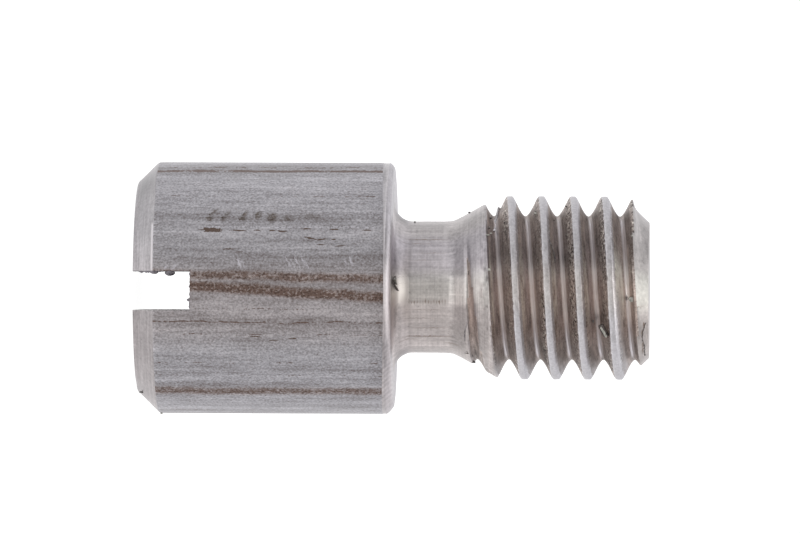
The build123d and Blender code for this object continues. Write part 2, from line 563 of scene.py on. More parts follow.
def cut_thread(finish, shape):
    """Cut thread: light crest lands, dark flanks pitted under the lands, a lighter bottom."""
    steel = Finish("cut_thread")
    base = tuple(finish.flank_steel)
    polished, cleaner = finish.root_steel, finish.clean_flank
    pitch = shape.thread_pitch / MM
    half = shape.groove_width / MM / 2
    # Place in the groove: across it from its middle, and along the pin to that middle
    past = steel.z - shape.groove_start / MM
    climb = past / pitch - steel.y.turn_to(steel.x) / FULL_TURN
    across = climb.math("WRAP", 0.5, -0.5) * pitch
    distance = abs(across)
    along = past - across
    last = along.step(4.7, 5.2)
    turn = steel.turn()
    torn = steel.place.noise(7.0, 3.0, 0.7)
    speck = steel.place.noise(14.0)
    pits = steel.place.noise(11.0, 3.0, 0.7)
    ring = (steel.x * 0.8).joined(steel.y * 0.8, climb * (pitch * 8.0))
    streak = ring.noise(1.0, 3.0, 0.7)
    hair = ring.noise(1.9, 2.0, 0.6)
    painted_front_light = turn.near(-1.0, 17.0, 0.7)

    # Painted light: the thread is lighter on the side that faces -Y, and in a band at about 20
    # degrees
    shade = streak * 2.2 + hair * 2.8 + speck * 2.0 + painted_front_light * 0.35
    colour = steel.toned(base, shade + turn.near(20.0, 30.0, 0.5) * 0.28)
    # The lower flank of each groove goes over to the clean flank colour on the -Y side, most of all
    # in
    # the last: partly steel cut cleaner, partly a painted highlight from the light in front
    clean_and_lit = across.step(-0.16, -0.27).most(across.step(-0.04, -0.22) * last)
    clean_and_lit = clean_and_lit * turn.near(1.0, 22.0, 0.7)
    clean_and_lit = clean_and_lit * (streak * 2.2 + hair * 2.8 + speck + along.step(5.0, 5.5) * 0.35 + 0.5)
    colour = colour.blend(tuple(cleaner), clean_and_lit)
    # Lower flanks towards +X, in the last groove and near the +X edge, go over to the crest's
    # colour
    crest_toned = (last * turn.near(45.0, 42.0, 0.3)).most(turn.near(80.0, 28.0, 0.6) * 0.6)
    crest_toned = crest_toned * across.step(-0.12, -0.34) * (streak * 2.0 + hair * 2.0 + 0.9)
    colour = colour.blend(tuple(finish.crest_steel), crest_toned)
    # Torn bands under the crests, with dark pits and light flakes
    lower = (torn * 0.2 - across).step(0.22, 0.38) * 0.6
    ragged = (across + torn * 0.16).step(0.12, 0.3).most(lower)
    ragged = ragged * (ring.noise(0.45, 1.0) * 5.0 + 0.85).most(0.15)
    flakes = pits.step(0.06, 0.16)
    colour = colour.blend(tinted(base, 0.1), ragged * pits.step(-0.02, -0.1) * 0.85)
    colour = colour.blend(tinted(cleaner, 1.42, 1.38, 1.34), ragged * flakes * 0.7)
    beside = across.near(-0.15, 0.07, 0.4).most(across.near(0.165, 0.06, 0.4) * 0.55)
    beside = beside * turn.near(-8.0, 40.0, 0.3) * along.step(5.4, 4.9)
    colour = colour.times((0.7, 0.69, 0.71), beside)
    # The polished bottom, a little lighter towards the front as painted light, with a painted
    # highlight
    root = abs(across - 0.008 + torn * 0.02).step(0.09, 0.045)
    root = root * along.step(1.0, 1.3) * abs(turn).step(82.0, 60.0)
    colour = colour.blend(tuple(polished), root * (streak * 1.2 + painted_front_light * 0.2 + 0.9))
    painted_root_highlight = root * turn.near(5.0, 23.0, 0.4) * (streak * 1.5 + 0.85)
    colour = colour.blend(tinted(polished, 1.42, 1.46, 1.42), painted_root_highlight)
    colour = colour.times((1.0, 0.95, 0.92), turn.near(15.0, 24.0, 0.6) * (1 - root * 0.4))
    # The lands along the crests
    crest = (distance - across * 0.07 + torn * 0.05).step(half - 0.06, half - 0.035)
    # Painted light: the lands are lighter at the front and near 30 degrees; the tint at 0 warms
    # that glint
    painted_lighting = turn.near(30.0, 32.0, 0.6) * 0.25 + turn.near(-2.0, 10.0, 0.7) * 0.12 + 0.1
    land = steel.toned(tuple(finish.crest_steel), speck * 1.3 + streak * 0.4 + painted_lighting)
    land = land.times((1.02, 1.0, 0.95), turn.near(0.0, 14.0, 0.6))
    colour = colour.blend(land, crest)
    edge = distance.near(half - 0.03, 0.035, 0.6) * flakes
    colour = colour.blend(tinted(polished, 1.2), edge * 0.8)

    roughness = speck * 0.2 - root * 0.16 - crest * 0.1 + 0.5
    height = streak * 0.4 + hair * 0.4 + speck * 0.3 + ragged * pits * 2.5
    return steel.done(colour, roughness, height * (1 - crest * 0.8), 0.015, 0.8)


def sawn_slot(finish):
    """Walls and floor of the driver slot, with saw lines along it."""
    steel = Finish("sawn_slot")
    base = tinted(finish.turned_steel, 0.8)
    lines = steel.place.stretched(9.0, 0.35, 9.0).noise(1.0, 3.0, 0.7)
    speck = steel.place.noise(10.0)
    colour = steel.toned(base, lines * 3.0 + speck * 1.5)
    return steel.done(colour, speck * 0.2 + 0.42, lines + speck * 0.3, 0.01, 0.7)


def torn_steel(name, tone, rough):
    """A burr or a sliver, stained where it was torn."""
    steel = Finish(name)
    speck = steel.place.noise(9.0, 3.0, 0.7)
    return steel.done(steel.toned(tone, speck * 5.0), speck * 0.2 + rough, speck, 0.02, 0.8)


def ease(share):
    """Goes from 0 to 1 with the share, without a kink at either end."""
    return share * share * (3 - 2 * share)


def hill(value, centre, width):
    """1 at the centre, dying away over the width."""
    return np.exp(-(((value - centre) / width) ** 2))


def lesser(a, b, soft):
    """The lesser of two radii, rounded where they cross."""
    gap = a - b
    return (a + b - np.sqrt(gap * gap + soft * soft)) / 2


def scatter(share, height, cells, step, seed):
    """Smooth random numbers from -1 to 1 over the pin, the same after a full turn."""
    rows = 97
    table = np.random.RandomState(seed).uniform(-1, 1, (cells, rows))
    u = np.mod(share, 1.0) * cells
    v = height / step
    i, j = np.floor(u).astype(int), np.floor(v).astype(int)
    u, v = ease(u - i), ease(v - j)
    left, right, lower, upper = i % cells, (i + 1) % cells, j % rows, (j + 1) % rows
    low = table[left, lower] * (1 - u) + table[right, lower] * u
    high = table[left, upper] * (1 - u) + table[right, upper] * u
    return low * (1 - v) + high * v


class PinSkin:
    """The pin's surface as one grid of points, in millimetres."""

    def __init__(self, shape):
        self.size = {key: getattr(shape, key) / MM for key in shape.__annotations__}
        self.points = []
        self.count = 0
        self.faces = []
        self.kinds = []
        half = self.size["slot_width"] / 2
        self.slot_low = self.size["slot_offset"] - half
        self.slot_high = self.size["slot_offset"] + half + self.size["saw_wander"]

    def add(self, x, y, z):
        """Adds points and gives their numbers, in the shape that they came in."""
        x, y, z = np.broadcast_arrays(x, y, z)
        start = self.count
        self.count += x.size
        self.points.append(np.stack([x.ravel(), y.ravel(), z.ravel()], axis=1))
        return np.arange(start, self.count).reshape(x.shape)

    def add_round(self, radius, turn, height):
        """Adds points round the axis. A turn of 0 faces -Y, and a quarter turn is +X."""
        return self.add(radius * np.sin(turn), -radius * np.cos(turn), height)

    def patch(self, a, b, c, d, kind):
        """Adds a face for each four corners. kind is one finish, or one for each face."""
        self.faces.append(np.stack([a.ravel(), b.ravel(), c.ravel(), d.ravel()], axis=1))
        self.kinds.append(np.broadcast_to(kind, a.shape).ravel())

    def sheet(self, rows, kind, closed=False):
        """Joins a grid of point numbers into faces, round to the first column if closed."""
        if closed:
            rows = np.concatenate([rows, rows[:, :1]], axis=1)
        kind = kind[:, None] if np.ndim(kind) == 1 else kind
        kind = np.broadcast_to(kind, (rows.shape[0] - 1, rows.shape[1] - 1))
        self.patch(rows[:-1, :-1], rows[:-1, 1:], rows[1:, 1:], rows[1:, :-1], kind)

    def bar(self, turn):
        """Radius of the drawn bar, which runs a little off the turned axis towards +X."""
        waver = scatter(turn / FULL_TURN, 0 * turn, 40, 1, 3) * 0.004
        return HEAD_RADIUS - 0.01 + self.size["bar_offset"] * np.sin(turn) + waver

    def lip_turn(self, radius, side):
        """Angles of a half's columns at this radius."""
        share = np.linspace(0, 1, LIP_COLUMNS)[None, :]
        if side > 0:
            start = np.arcsin(self.slot_high / radius)
            return start + (math.pi - 2 * start) * share
        start = math.pi + np.arcsin(-self.slot_low / radius)
        return start + (3 * math.pi - 2 * start) * share

    def head_radius_at(self, height, turn):
        """Radius of the head at a height below the shoulder. Its chamfer is cut off centre."""
        cone = HEAD_RADIUS - self.size["head_chamfer"] + height + 0.022 * np.sin(turn) - 0.012
        radius = lesser(cone, self.bar(turn), 0.035)
        # A nick in the rim on the +X side, and small chips all round it
        nick = hill(turn, 1.2, 0.09) * hill(height, 0, 0.12)
        chips = scatter(turn / FULL_TURN, height, 260, 0.12, 5) * 0.006
        return radius - 0.05 * nick + chips * hill(height, 0, 0.08)

    def flare(self, height):
        """Radius of the neck and of the flare that it opens into."""
        size = self.size
        slope = (size["thread_radius"] - size["neck_radius"]) / size["flare_length"]
        past = height - size["flare_bottom"]
        return size["neck_radius"] + slope * (past + np.sqrt(past * past + 0.012)) / 2

    def groove_middle(self, turn):
        """Height of the first groove's middle at an angle in radians."""
        size = self.size
        return size["groove_start"] + size["thread_pitch"] * (turn - math.pi / 2) / FULL_TURN

    def radius_at(self, turn, height):
        """Radius of the skin at an angle in radians and a height."""
        if height < self.size["head_length"]:
            return float(self.head_radius_at(height, turn))
        if height < self.size["flare_bottom"]:
            return float(self.flare(height))
        share = turn / FULL_TURN % 1.0
        middle = self.groove_middle(share * FULL_TURN)
        return float(thread_radius_at(self, height, share, middle)[0])


def slotted_end(skin):
    """Both halves of the slotted end down to the slot's floor."""
    size = skin.size
    edge, depth = size["head_chamfer"], size["slot_depth"]
    round_edge = np.array([-0.06, -0.035, -0.015, 0.005, 0.03, 0.06, 0.1, 0.16])
    cone, plain = np.linspace(0.014, edge - 0.1, 7), np.linspace(edge + 0.26, depth, 7)
    heights = np.concatenate([cone, edge + round_edge, plain])[:, None]
    finish = np.where(heights[:-1, 0] < edge, TURNED, BAR)
    for side in (1, -1):
        wall_x = skin.slot_high if side > 0 else skin.slot_low
        guess = np.minimum(HEAD_RADIUS - edge + heights, HEAD_RADIUS)
        turn = skin.lip_turn(guess, side)
        radius = skin.head_radius_at(heights, turn)
        outer_x, outer_y = radius * np.sin(turn), -radius * np.cos(turn)
        # The two outermost columns lie on the slot's wall and carry its broken edge
        burr = 0.012 + 0.01 * scatter(heights / 7, heights, 9, 0.07, 11 + side)
        for column, along in ((0, 1), (-1, -1)):
            outer_x[:, column] = wall_x + side * 0.5 * burr[:, 0]
            outer_y[:, column] = -along * side * np.sqrt(radius[:, column] ** 2 - wall_x**2)
        outer = skin.add(outer_x, outer_y, heights)
        skin.sheet(outer, finish)

        start, end = outer_y[:, :1], outer_y[:, -1:]
        share = (outer_y - start) / (end - start)
        inset = 0.022 * np.sign(end - start)
        wall_y = (start + inset) + (end - start - 2 * inset) * share
        wave = scatter(share / 2, heights, 80, 0.3, 17 + side) * 0.004
        wall = skin.add(wall_x + wave, wall_y, heights)
        skin.sheet(wall[:, ::-1], SLOT)
        skin.patch(outer[:-1, :1], outer[1:, :1], wall[1:, :1], wall[:-1, :1], SLOT)
        skin.patch(outer[1:, -1:], outer[:-1, -1:], wall[:-1, -1:], wall[1:, -1:], SLOT)

        # Flat end face between the rim and the wall
        inward = (0.012, 0.05, 0.12, 0.22, 0.35, 0.5, 0.65, 0.8, 0.9, 0.96, 0.99)
        inward = np.array(inward)[:, None]
        end_x = outer_x[0] + (wall_x + side * 0.018 - outer_x[0]) * inward
        end_y = outer_y[0] + (wall_y[0] - outer_y[0]) * inward
        face = np.concatenate([outer[:1], skin.add(end_x, end_y, 0), wall[:1]])
        skin.sheet(face[:, ::-1], TURNED)

    # Floor of the slot, one row for each column of the gap
    across = np.linspace(skin.slot_low, skin.slot_high, GAP_COLUMNS + 2)[:, None]
    reach = np.sqrt(skin.bar(np.arcsin(across / HEAD_RADIUS)) ** 2 - across**2)
    shares = wall_y[-1, ::-1] / np.abs(wall_y[-1]).max()
    floor_y = shares[None, :] * reach
    teeth = 0.03 * scatter(across / 3, across, 31, 0.2, 23) * np.abs(shares[None, :]) ** 12
    level = depth + teeth + 0.006 * scatter(across / 2, floor_y, 40, 0.4, 29)
    level[0], level[-1] = depth, depth
    skin.sheet(skin.add(across, floor_y, level), SLOT)


def columns(skin):
    """Angles of the columns above the slot's floor, in radians."""
    high = np.arcsin(skin.slot_high / HEAD_RADIUS)
    low = np.arcsin(-skin.slot_low / HEAD_RADIUS)
    gap = GAP_COLUMNS + 2
    return np.concatenate(
        [
            np.linspace(high, math.pi - high, LIP_COLUMNS),
            np.linspace(math.pi - high, math.pi + low, gap)[1:-1],
            np.linspace(math.pi + low, FULL_TURN - low, LIP_COLUMNS),
            np.linspace(FULL_TURN - low, FULL_TURN + high, gap)[1:-1],
        ]
    )[None, :]


def turned_rows(skin, turn):
    """Bar, shoulder, neck and flare, on level rows. Gives the point numbers of the last row."""
    size = skin.size
    top, depth = size["head_length"], size["slot_depth"]
    radii, levels, kinds = [], [], []

    def band(radius, level, kind):
        """Adds rows; each number may be given for a row, for a column or for both."""
        radius, level, _ = np.broadcast_arrays(radius, level, turn)
        radii.append(radius)
        levels.append(level)
        kinds.extend([kind] * len(radius))

    # Bar, a turned band at its end, and the broken edge of the shoulder, wider on the +X side
    bar = skin.bar(turn)
    broken = size["shoulder_break"] + 0.05 * np.sin(turn)
    band_start = top - 0.22 - 0.14 * np.sin(turn) ** 2
    shares = np.linspace(0, 1, 13)[:, None]
    band(bar, depth + (band_start - 0.02 - depth) * shares, BAR)
    band(bar - 0.006, np.minimum(band_start + 0.02, top - broken - 0.005), BAR)
    plain = len(kinds) + 1
    band(bar - 0.008, top - broken - 0.012, TURNED)
    out, up = np.array(SHOULDER_EDGE).T[:, :, None]
    band(bar - broken + broken * out, top - broken + broken * up, TURNED)
    # Shoulder face, fillet, neck and flare
    fillet = size["neck_fillet"]
    inner = size["neck_radius"] + fillet
    shares = np.linspace(0, 1, 8)[1:, None]
    band((bar - broken) * (1 - shares) + inner * shares, top, TURNED)
    bends = np.linspace(0, math.pi / 2, 12)[1:, None]
    band(inner - fillet * np.sin(bends), top + fillet * (1 - np.cos(bends)), NECK)
    heights = np.linspace(top + fillet, THREAD_FOOT, 16)[1:, None]
    band(skin.flare(heights), heights, NECK)

    radius, level = np.concatenate(radii), np.concatenate(levels)
    # Faint tool chatter on what is turned
    turned = (np.arange(len(radius)) >= plain)[:, None]
    radius = radius + turned * 0.0025 * scatter(turn / FULL_TURN, level + radius, 24, 0.09, 31)
    rows = skin.add_round(radius, turn, level)
    skin.sheet(rows, np.array(kinds[1:]), closed=True)
    return rows[-1]


def thread_rows(skin, turn, foot):
    """Thread, on rows that climb with the groove from the row at its foot. Gives the last row."""
    pitch, start = skin.size["thread_pitch"], skin.size["groove_start"]
    offsets = np.array(THREAD_ROWS) * pitch
    per = len(offsets)
    turns = math.ceil((FULL_LENGTH - start) / pitch) + 1
    climb = (np.arange(turns)[:, None] * pitch + offsets[None, :]).reshape(-1, 1)
    middle = skin.groove_middle(turn)
    level = np.clip(middle + climb, THREAD_FOOT + 0.05, FULL_LENGTH)
    radius, kind = thread_radius_at(skin, level, turn / FULL_TURN, middle)
    helix = skin.add_round(radius, turn, level)
    kind = kind[:-1]
    skin.patch(helix[:-1, :-1], helix[:-1, 1:], helix[1:, 1:], helix[1:, :-1], kind[:, :-1])
    # Over the seam each row goes on as the row one turn higher
    low, high = helix[: -per - 1, -1], helix[per:-1, 0]
    skin.patch(low, high, helix[per + 1 :, 0], helix[1:-per, -1], kind[:-per, -1])
    skin.sheet(np.stack([foot, helix[0]]), NECK, closed=True)
    return helix[-1:], radius[-1]


def end_face(skin, turn, rim, rim_radius):
    """End of the thread, with the small hollow that the parting tool left round the middle."""
    shares = np.array([0.985, 0.9, 0.75, 0.6, 0.45, 0.3, 0.18, 0.08])[:, None]
    radius = rim_radius * shares
    sunk = 0.012 * hill(radius, 0.35, math.sqrt(0.02))
    rings = skin.add_round(radius, turn, FULL_LENGTH - sunk)
    skin.sheet(np.concatenate([rim, rings]), END, closed=True)
    middle = skin.add(np.zeros(1), np.zeros(1), np.full(1, FULL_LENGTH))
    middle = np.full_like(rings[-1], middle[0])
    skin.patch(rings[-1], np.roll(rings[-1], -1), middle, middle, END)


def thread_radius_at(skin, level, share, middle):
    """Radius and finish of the thread, at a share of a turn over the first groove's middle."""
    size = skin.size
    pitch, over = size["thread_pitch"], size["thread_radius"]
    along = (level - middle) / pitch
    away = (along - np.round(along)) * pitch
    climb = share + np.round(along)
    sideways = np.sin(FULL_TURN * share)
    lean = size["thread_lean"] * (1 + sideways)

    half = size["groove_width"] / 2
    slope = 1 / math.tan(math.radians(FLANK_LEAN))
    root = over - (half - size["groove_root"] / 2) * slope
    # Straight flanks with a rounded bottom, a little off the middle
    groove = root + slope * (np.sqrt((away + 0.01) ** 2 + 0.0085) - 0.088)
    # Rolled-over metal makes each flank bulge under its crest
    groove = groove + 0.072 * ease(np.clip((np.abs(away) - 0.16) / 0.22, 0, 1))
    groove = groove + lean - 0.028
    # The tool eases into the flare over the first part of its turn
    begun = (level - away - size["groove_start"]) / pitch
    groove = groove + 0.065 * (1 - ease(np.clip((begun - 0.72) / 0.28, 0, 1)))
    # Torn metal on the flank under each crest
    upper, lower = hill(away, half - 0.05, 0.09), hill(away, 0.04 - half, 0.07)
    torn = np.maximum(0, scatter(share, climb + away, 150, 0.11, 41))
    nicks = np.maximum(0, scatter(share, climb + away, 210, 0.07, 43) - 0.25)
    groove = groove - upper * (0.05 * torn + 0.05 * nicks) - lower * 0.03 * nicks

    crest = over + 0.005 * scatter(share, climb, 110, 0.5, 47) - 0.006 + lean
    ragged = 0.03 * scatter(share, level, 170, 0.1, 53)
    start = skin.flare(level) + hill(level, 11.15, 0.22) * ragged
    blank = lesser(start, crest, 0.03)
    cone = over - size["end_chamfer"] + (FULL_LENGTH - level)
    cone = cone + 0.07 * sideways - 0.02 + 0.004 * scatter(share, level, 60, 0.15, 59)
    # The thin lip that the last crest keeps over the lead chamfer on the -X side
    sag = np.sin(math.pi * np.clip((level - 15.5) / 0.75, 0, 1)) * (1 - sideways) / 2
    lip = np.exp(-np.clip(np.mod(away, pitch) - 0.4, 0, 1) / 0.05)
    lip = lip * np.clip(-1.6 * sideways - 0.6, 0, 1)
    cone = cone - 0.03 * sag + lip * (0.19 + 0.03 * scatter(share, level, 130, 0.3, 61))

    stock = lesser(blank, cone, 0.015)
    radius = lesser(stock, groove, 0.016)
    outside = np.where(cone < blank, END, np.where(start < crest, NECK, THREAD))
    return radius, np.where(groove < stock - 0.02, THREAD, outside)


def skin_mesh(skin, name, materials):
    """Makes the mesh in metres, merges points that coincide and drops faces without area."""
    points = np.concatenate(skin.points) * MM
    faces = np.concatenate(skin.faces)
    kinds = np.concatenate(skin.kinds)
    mesh = bpy.data.meshes.new(name)
    mesh.from_pydata(points.tolist(), [], [])
    work = bmesh.new()
    work.from_mesh(mesh)
    work.verts.ensure_lookup_table()
    spots = work.verts
    for corners, kind in zip(faces.tolist(), kinds.tolist()):
        unique = list(dict.fromkeys(corners))
        if len(unique) < 3:
            continue
        try:
            face = work.faces.new([spots[i] for i in unique])
        except ValueError:
            continue
        face.material_index = int(kind)
        face.smooth = True
    merge = 2e-7
    bmesh.ops.remove_doubles(work, verts=work.verts, dist=merge)
    bmesh.ops.dissolve_degenerate(work, edges=work.edges, dist=merge)
    bmesh.ops.recalc_face_normals(work, faces=work.faces)
    work.to_mesh(mesh)
    work.free()
    for material in materials:
        mesh.materials.append(material)
    return mesh


def place_piece(context, mesh, sharp):
    """Puts a mesh on the pin's body, with edges kept sharp over an angle in degrees."""
    mesh.set_sharp_from_angle(angle=math.radians(sharp))
    piece = bpy.data.objects.new(mesh.name, mesh)
    context.scene.collection.objects.link(piece)
    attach(piece, "root")
    return piece


class Scraps:
    """Small torn bits of steel that gather into one mesh, in millimetres."""

    def __init__(self):
        self.corners = []
        self.faces = []
        self.kinds = []

    def add(self, corners, faces, kind):
        """Adds faces between new corners, all of one finish."""
        start = len(self.corners)
        self.corners += [tuple(corner) for corner in corners]
        self.faces += [tuple(start + i for i in face) for face in faces]
        self.kinds += [kind] * len(faces)

    def fin(self, points, across, width, kind, seed):
        """A ragged fin along points, each with the direction out and the height there."""
        chance = np.random.RandomState(seed)
        corners = []
        for point, out, height in points:
            jitter = chance.uniform(-0.2, 0.2, 3) * width
            foot = point - out * 0.012
            corners += [foot - across * width / 2, foot + across * width / 2]
            corners += [point + out * height * 0.55 + across * width * 0.32 + jitter * 0.5]
            corners += [point + out * height + jitter]
            corners += [point + out * height * 0.5 - across * width * 0.38 + jitter * 0.5]
        sides, count = 5, len(corners)
        ends = [tuple(reversed(range(sides))), tuple(range(count - sides, count))]
        self.add(corners, collar(sides, len(points)) + ends, kind)

    def pebble(self, centre, half_x, half_y, half_z, kind, seed):
        """A rounded, uneven lump with its three half lengths."""
        bumps = np.random.RandomState(seed).uniform(-1, 1, (4, 3))
        rings, around = 9, 14
        tip = np.array([0, 0, half_z])
        corners = [centre - tip]
        for i in range(1, rings):
            rise = math.pi * i / rings
            for j in range(around):
                turn = 2 * math.pi * j / around
                level = math.sin(rise)
                ball = np.array([level * math.cos(turn), level * math.sin(turn), -math.cos(rise)])
                waves = (math.sin(3.1 * float(bump @ ball) + k) for k, bump in enumerate(bumps))
                swelling = 1 + 0.1 * sum(waves) / 2
                corners.append(centre + swelling * ball * (half_x, half_y, half_z))
        corners.append(centre + tip)
        last = len(corners) - 1
        rim = last - around
        sides = [(j, (j + 1) % around) for j in range(around)]
        faces = [(0, 1 + b, 1 + a) for a, b in sides] + collar(around, rings - 1, 1)
        self.add(corners, faces + [(rim + a, rim + b, last) for a, b in sides], kind)

    def flake(self, centre, along, across, up, size, kind, seed):
        """A thin torn flake, curled a little, by half its length, half its width, thickness."""
        chance = np.random.RandomState(seed)
        around = 9
        corners = []
        for level in (0, 1):
            for j in range(around):
                turn = 2 * math.pi * (j + chance.uniform(-0.3, 0.3)) / around
                reach = chance.uniform(0.65, 1.1)
                u, v = math.cos(turn) * reach, math.sin(turn) * reach
                lift = (0.35 * u * u - 0.1) * size[1] + level * size[2]
                corners.append(centre + along * u * size[0] + across * v * size[1] + up * lift)
        ends = [tuple(reversed(range(around))), tuple(range(around, 2 * around))]
        self.add(corners, ends + collar(around), kind)

    def mesh(self, name, materials):
        """The gathered bits as one mesh in metres."""
        made = bpy.data.meshes.new(name)
        corners = [tuple(part * MM for part in corner) for corner in self.corners]
        made.from_pydata(corners, [], self.faces)
        made.polygons.foreach_set("material_index", self.kinds)
        for material in materials:
            made.materials.append(material)
        made.validate()
        made.shade_smooth()
        return made


def collar(around, rings=2, start=0):
    """Faces between rings of corners that follow each other from the corner start."""
    faces = []
    for low in range(start, start + (rings - 1) * around, around):
        sides = [(low + j, low + (j + 1) % around) for j in range(around)]
        faces += [(a, b, b + around, a + around) for a, b in sides]
    return faces


def on_round(turn, height, radius):
    """A point round the axis and the directions out and round there. turn in degrees."""
    angle = math.radians(turn)
    out = np.array([math.sin(angle), -math.cos(angle), 0.0])
    return out * radius + np.array([0, 0, height]), out, np.array([-out[1], out[0], 0.0])


def on_skin(skin, turn, height, lift=0.0):
    """The same for a point lifted off the pin's skin."""
    return on_round(turn, height, skin.radius_at(math.radians(turn), height) + lift)


def burr_height(place, bumps):
    """Height of a burr: a low ridge with bumps of (place, half width, height)."""
    return 0.012 + sum(high * hill(place, middle, half) for middle, half, high in bumps)


# Bumps of the burrs on the slot's edges: side of the slot, direction of Y, bumps
EDGE_BURRS = (
    (-1, -1, ((0.3, 0.06, 0.045), (0.46, 0.08, 0.05), (0.62, 0.13, 0.06), (1.2, 0.1, 0.05))),
    (-1, 1, ((0.4, 0.1, 0.04), (1.5, 0.08, 0.05))),
    (1, -1, ((0.9, 0.08, 0.025),)),
    (1, 1, ((0.9, 0.08, 0.025),)),
)

# Teeth along the slot's floor, where the saw broke out, and beads rolled over its edge:
# height, how far in from the wall and the rim, half lengths
FLOOR_TEETH = (
    (-0.42, 0.06, 0.035), (0, 0.03, 0.05), (0.24, 0.035, 0.03), (0.43, 0.04, 0.13),
    (0.6, 0.1, 0.035),
)
BEADS = (
    (1.2, 0.045, 0.05, (0.085, 0.09, 0.16), 83),
    (0.72, 0.02, 0.06, (0.055, 0.07, 0.12), 85),
)


def edge_burrs(scraps, skin, chance):
    """Burrs up both edges of both walls of the slot."""
    edge, depth = skin.size["head_chamfer"], skin.size["slot_depth"]
    for side, face, bumps in EDGE_BURRS:
        wall_x = skin.slot_low if side < 0 else skin.slot_high
        out = np.array([-side * 0.93, face * 0.36, 0.0])
        out = out / np.linalg.norm(out)
        points = []
        for height in np.linspace(0.02, depth - 0.05, 46):
            radius = min(HEAD_RADIUS - edge + height, HEAD_RADIUS - 0.008)
            y = face * math.sqrt(radius**2 - wall_x**2)
            place = np.array([wall_x + side * 0.01, y - face * 0.02, height])
            points.append((place, out, burr_height(height, bumps) * chance.uniform(0.55, 1.15)))
        kind = BLUED if side < 0 else BRIGHT
        scraps.fin(points, np.array([0, face * 0.9, 0]), 0.035, kind, 73 + side + face)


def floor_burrs(scraps, skin, chance):
    """Teeth along both ends of the slot's floor."""
    for face in (-1, 1):
        out, points = np.array([0.0, face * 0.2, -0.98]), []
        for x in np.linspace(skin.slot_low + 0.03, skin.slot_high - 0.03, 40):
            y = face * math.sqrt((HEAD_RADIUS - 0.012) ** 2 - x**2)
            place = np.array([x, y - face * 0.015, skin.size["slot_depth"] + 0.004])
            tall = burr_height(x * -face, FLOOR_TEETH) * chance.uniform(0.6, 1.1)
            points.append((place, out, tall))
        scraps.fin(points, np.array([0, face, 0]), 0.03, BLUED, 79 + face)


class PIN_OT_slot_burrs(bpy.types.Operator):
    """Raise the burrs that the saw left on the edges of the driver slot"""

    bl_idname = "pivot_pin.slot_burrs"
    bl_label = "Slot burrs"

    def execute(self, context):
        skin = PinSkin(context.scene.pin_shape)
        scraps = Scraps()
        chance = np.random.RandomState(71)
        edge_burrs(scraps, skin, chance)
        floor_burrs(scraps, skin, chance)
        rim = -math.sqrt(HEAD_RADIUS**2 - skin.slot_low**2)
        for height, aside, inward, halves, seed in BEADS:
            bead = np.array([skin.slot_low + aside, rim + inward, height])
            scraps.pebble(bead, *halves, BLUED, seed)
        bright = tuple(context.scene.pin_finish.turned_steel)
        materials = [
            torn_steel("blued_burr", (0.16, 0.15, 0.165), 0.3),
            torn_steel("bright_burr", bright, 0.35),
        ]
        place_piece(context, scraps.mesh("slot_burrs", materials), 50)
        return {"FINISHED"}


# The curl in the fillet: angle, height and how tall it stands at each point
NECK_CURL = (
    (-8.4, 8.22, 0.03), (-6.6, 8.18, 0.07), (-4.8, 8.14, 0.05), (-3.2, 8.15, 0.08),
    (-1.5, 8.2, 0.05), (0.6, 8.26, 0.06), (3.0, 8.31, 0.02),
)

# Torn flakes: angle, height, lift, half length, half width, thickness, lean, finish
FLAKES = (
    (-64, 11.2, 0.02, 0.07, 0.035, 0.03, 1.3, STAINED),
    (-47, 11.17, 0.02, 0.08, 0.035, 0.03, 0.5, STAINED),
    (-43, 11.22, 0.01, 0.06, 0.035, 0.03, 1.4, CLEAN),
    (-38, 11.15, 0.02, 0.06, 0.03, 0.03, 1.4, CLEAN),
    (-12, 11.2, 0.01, 0.07, 0.04, 0.03, 1.2, CLEAN), (-80, 8.78, 0, 0.05, 0.03, 0.03, 0.3, CLEAN),
    (-84, 10.5, 0, 0.05, 0.03, 0.04, 0.6, STAINED),
    (84, 10.66, 0, 0.09, 0.05, 0.05, 0.8, STAINED),
    (62, 10.5, 0, 0.12, 0.02, 0.015, 1.2, STAINED),
    (68, 10.64, 0, 0.12, 0.02, 0.015, 0.2, STAINED),
    (-11, 10.55, 0, 0.07, 0.02, 0.012, 0.1, STAINED),
    (26, 14.47, 0, 0.08, 0.05, 0.015, 0, STAINED),
    (8.3, 15.67, 0.04, 0.1, 0.09, 0.05, 0.2, CLEAN),
    (-61, 12.63, 0.02, 0.06, 0.05, 0.04, 0.2, CLEAN),
    (72, 0.18, 0, 0.12, 0.045, 0.035, 1.2, STAINED), (89, 0.74, 0, 0.12, 0.05, 0.03, 0.1, CLEAN),
    (150, 13.5, 0, 0.08, 0.04, 0.03, 0.9, STAINED),
    (205, 11.6, 0, 0.09, 0.04, 0.03, 0.6, STAINED), (175, 8.3, 0, 0.08, 0.03, 0.02, 0.5, STAINED),
    (-62, 13.2, 0, 0.06, 0.03, 0.02, 1.3, STAINED),
    (-38, 15.7, 0.01, 0.045, 0.035, 0.03, 0.4, CLEAN),
    (-76, 13.6, 0, 0.06, 0.03, 0.03, 0.9, STAINED),
)

# Hair-thin turnings that lie in the groove: angle and height at both ends, bow, lift
TURNINGS = (
    ((-34, 13.06), (-19, 13.27), 0.05, 0.05), ((-31, 13.14), (-21, 13.29), 0.03, 0.04),
    ((25, 10.55), (47, 10.42), -0.06, 0.02), ((130, 12.3), (152, 12.1), 0.08, 0.05),
)

# Height of the cracked lip across the end chamfer, by its angle
LIP_ANGLES = (29, 36, 42, 52, 66)
LIP_HEIGHTS = (16.12, 16.03, 16.01, 16.08, 16.09)

# The strip torn up along the first full groove: angle, height, how tall it stands
TORN_STRIP = (
    (-50, 11.29, 0.01), (-58, 11.32, 0.03), (-66, 11.36, 0.06), (-74, 11.4, 0.08),
    (-81, 11.43, 0.11), (-88, 11.45, 0.13), (-95, 11.46, 0.1), (-101, 11.46, 0.03),
)


